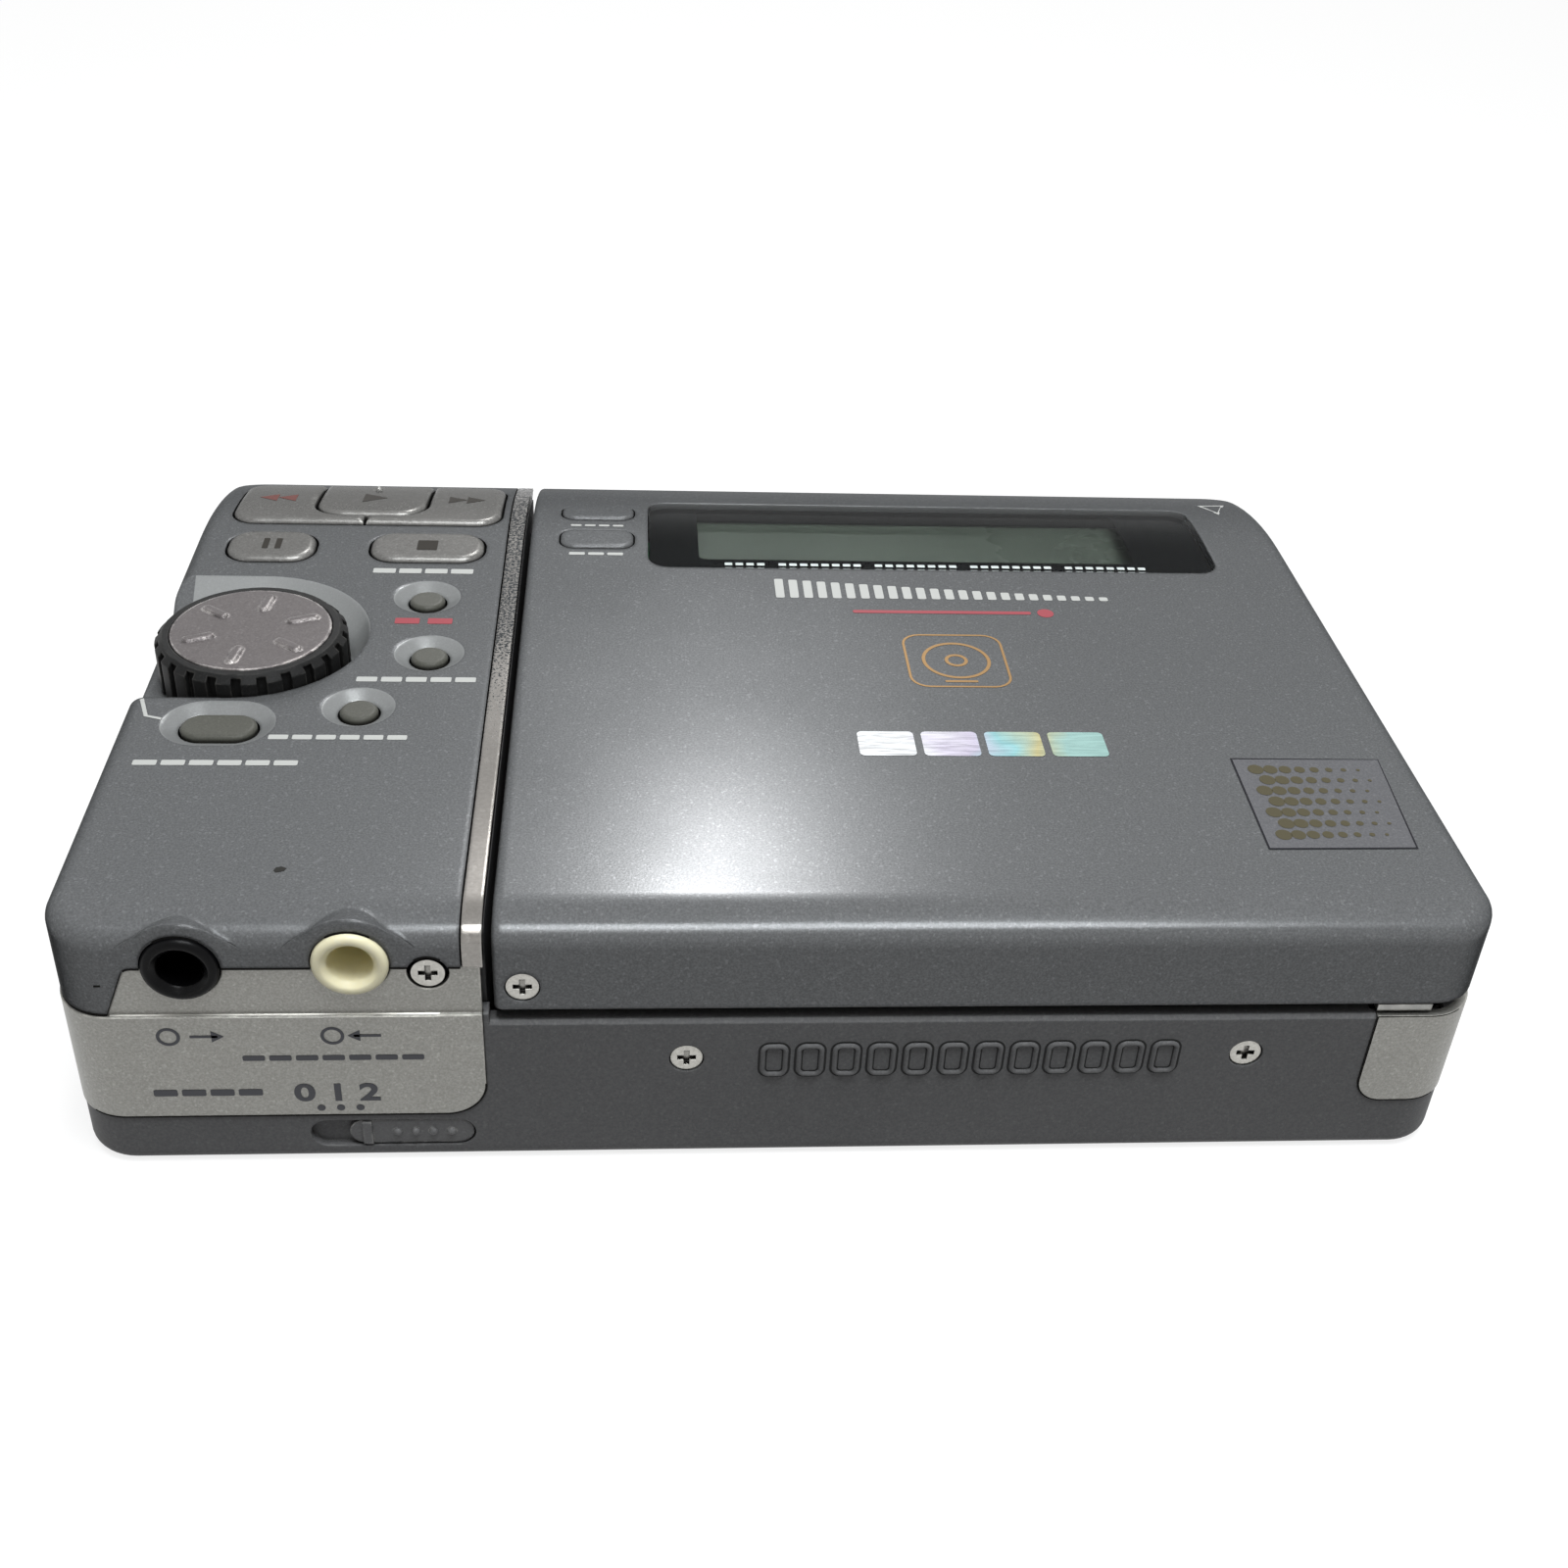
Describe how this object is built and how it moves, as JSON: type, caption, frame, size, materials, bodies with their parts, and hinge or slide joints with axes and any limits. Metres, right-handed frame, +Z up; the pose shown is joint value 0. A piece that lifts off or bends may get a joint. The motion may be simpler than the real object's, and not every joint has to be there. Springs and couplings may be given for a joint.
{
  "type": "portable minidisc player",
  "caption": "Pocket disc recorder with a hinged lid, display window, jog dial, key column, slide switches and two round sockets in the back.",
  "frame": {"origin": "centre of the bounding box at the underside", "axes": "+X along the length, away from the key column; +Y from the socket side to the display side; +Z up"},
  "size_m": [0.1182, 0.0864, 0.0279],
  "materials": {
    "shell_grey": "satin metallic paint",
    "base_grey": "fine matte texture",
    "plate_silver": "bead blasted, anodised",
    "trim_chrome": "plated, worn",
    "black_plastic": "matte",
    "zinc_steel": "pressed sheet",
    "screw_silver": "bright",
    "window_black": "clear with a smoked border",
    "lcd_glass": "display cell",
    "board_green": "solder mask",
    "switch_metal": "satin",
    "rim_black": "moulded, ridged",
    "dial_silver": "satin, slightly pink",
    "key_silver": "silver paint, worn edges",
    "key_olive": "satin",
    "jack_black": "moulded",
    "jack_cream": "moulded",
    "battery_blue": "shrink sleeve",
    "contact_brass": "sprung strip",
    "chip_black": "moulded epoxy",
    "rod_steel": "ground",
    "sled_black": "matte"
  },
  "bodies": {
    "case": {"base_shell": "base_grey", "corner_plate": "plate_silver", "jack_plate": "plate_silver", "control_cover": "shell_grey", "divider_trim": "trim_chrome", "side_frame": "black_plastic", "deck_frame": "black_plastic", "hinge_brackets": "zinc_steel", "hinge_pins": "zinc_steel", "case_screws": "screw_silver", "cover_screw": "screw_silver", "dial_encoder": "switch_metal", "control_board": "board_green", "key_switches": "switch_metal", "output_jack": "jack_black", "input_jack": "jack_cream", "front_jacks": "jack_black", "dc_jack": "jack_black", "slide_switches": "switch_metal", "battery": "battery_blue", "battery_contacts": "contact_brass", "main_board": "board_green", "board_chips": "chip_black", "deck_plate": "zinc_steel", "spindle_motor": "switch_metal", "guide_rods": "rod_steel", "sled_motor": "switch_metal"},
    "lid": {"lid_shell": "shell_grey", "lid_frame": "zinc_steel", "disc_holder": "zinc_steel", "lcd_window": "window_black", "lcd_panel": "lcd_glass", "lcd_board": "board_green", "lid_switches": "switch_metal", "lid_screw": "screw_silver"},
    "jog_dial": {"dial_wheel": "rim_black", "dial_cap": "dial_silver"},
    "play_button": {"play_button": "key_silver"},
    "rewind_button": {"rewind_button": "key_silver"},
    "forward_button": {"forward_button": "key_silver"},
    "pause_button": {"pause_button": "key_silver"},
    "stop_button": {"stop_button": "key_silver"},
    "erase_button": {"erase_button": "key_olive"},
    "end_search_button": {"end_search_button": "key_olive"},
    "track_mark_button": {"track_mark_button": "key_olive"},
    "title_button": {"title_button": "key_olive"},
    "mode_button": {"mode_button": "shell_grey"},
    "display_button": {"display_button": "shell_grey"},
    "bass_knob": {"bass_knob": "base_grey"},
    "record_slider": {"record_slider": "base_grey"},
    "hold_slider": {"hold_slider": "base_grey"},
    "open_slider": {"open_slider": "key_silver", "latch_hook": "zinc_steel"},
    "battery_door": {"battery_door": "base_grey"},
    "turntable": {"turntable": "black_plastic"},
    "optical_pickup": {"optical_pickup": "sled_black"},
    "lead_screw": {"lead_screw": "rod_steel"},
    "magnetic_head": {"magnetic_head": "sled_black"}
  },
  "joints": [
    {"name": "lid_hinge", "type": "hinge", "parent": "case", "child": "lid", "pos_m": [0, -0.04095, 0.01795], "axis": [1, 0, 0], "range_deg": [0, 50]},
    {"name": "jog_dial_turn", "type": "hinge", "parent": "case", "child": "jog_dial", "pos_m": [-0.0491, -0.00035, 0.024], "axis": [0, 0, 1], "continuous": true},
    {"name": "play_button_press", "type": "slide", "parent": "case", "child": "play_button", "axis": [0, 0, -1], "range_m": [0, 0.0005], "stiffness_N_per_m": 300},
    {"name": "rewind_button_press", "type": "slide", "parent": "case", "child": "rewind_button", "axis": [0, 0, -1], "range_m": [0, 0.0005], "stiffness_N_per_m": 300},
    {"name": "forward_button_press", "type": "slide", "parent": "case", "child": "forward_button", "axis": [0, 0, -1], "range_m": [0, 0.0005], "stiffness_N_per_m": 300},
    {"name": "pause_button_press", "type": "slide", "parent": "case", "child": "pause_button", "axis": [0, 0, -1], "range_m": [0, 0.0005], "stiffness_N_per_m": 300},
    {"name": "stop_button_press", "type": "slide", "parent": "case", "child": "stop_button", "axis": [0, 0, -1], "range_m": [0, 0.0005], "stiffness_N_per_m": 300},
    {"name": "erase_button_press", "type": "slide", "parent": "case", "child": "erase_button", "axis": [0, 0, -1], "range_m": [0, 0.0005], "stiffness_N_per_m": 300},
    {"name": "end_search_button_press", "type": "slide", "parent": "case", "child": "end_search_button", "axis": [0, 0, -1], "range_m": [0, 0.0005], "stiffness_N_per_m": 300},
    {"name": "track_mark_button_press", "type": "slide", "parent": "case", "child": "track_mark_button", "axis": [0, 0, -1], "range_m": [0, 0.0005], "stiffness_N_per_m": 300},
    {"name": "title_button_press", "type": "slide", "parent": "case", "child": "title_button", "axis": [0, 0, -1], "range_m": [0, 0.0005], "stiffness_N_per_m": 300},
    {"name": "mode_button_press", "type": "slide", "parent": "lid", "child": "mode_button", "axis": [0, 0, -1], "range_m": [0, 0.0003], "stiffness_N_per_m": 300},
    {"name": "display_button_press", "type": "slide", "parent": "lid", "child": "display_button", "axis": [0, 0, -1], "range_m": [0, 0.0003], "stiffness_N_per_m": 300},
    {"name": "bass_slide", "type": "slide", "parent": "case", "child": "bass_knob", "axis": [1, 0, 0], "range_m": [-0.0032, 0]},
    {"name": "record_slide", "type": "slide", "parent": "case", "child": "record_slider", "axis": [1, 0, 0], "range_m": [-0.003, 0]},
    {"name": "hold_slide", "type": "slide", "parent": "case", "child": "hold_slider", "axis": [1, 0, 0], "range_m": [-0.003, 0]},
    {"name": "open_slide", "type": "slide", "parent": "case", "child": "open_slider", "axis": [-1, 0, 0], "range_m": [0, 0.004], "stiffness_N_per_m": 200},
    {"name": "battery_door_hinge", "type": "hinge", "parent": "case", "child": "battery_door", "pos_m": [-0.0579, 0.00225, 0.0029], "axis": [0, -1, 0], "range_deg": [0, 85]},
    {"name": "turntable_spin", "type": "hinge", "parent": "case", "child": "turntable", "pos_m": [0.01752, 0.00025, 0.008], "axis": [0, 0, 1], "continuous": true},
    {"name": "pickup_slide", "type": "slide", "parent": "case", "child": "optical_pickup", "axis": [1, 0, 0], "range_m": [0, 0.012]},
    {"name": "lead_screw_turn", "type": "hinge", "parent": "case", "child": "lead_screw", "pos_m": [0.031, 0.01875, 0.0078], "axis": [1, 0, 0], "range_deg": [0, 2170]},
    {"name": "magnetic_head_slide", "type": "slide", "parent": "lid", "child": "magnetic_head", "axis": [1, 0, 0], "range_m": [0, 0.0121]}
  ],
  "couplings": [
    {"joint": "lead_screw_turn", "follows": "pickup_slide", "rad_per_m": 3141.6},
    {"joint": "magnetic_head_slide", "follows": "pickup_slide", "ratio": 1}
  ]
}
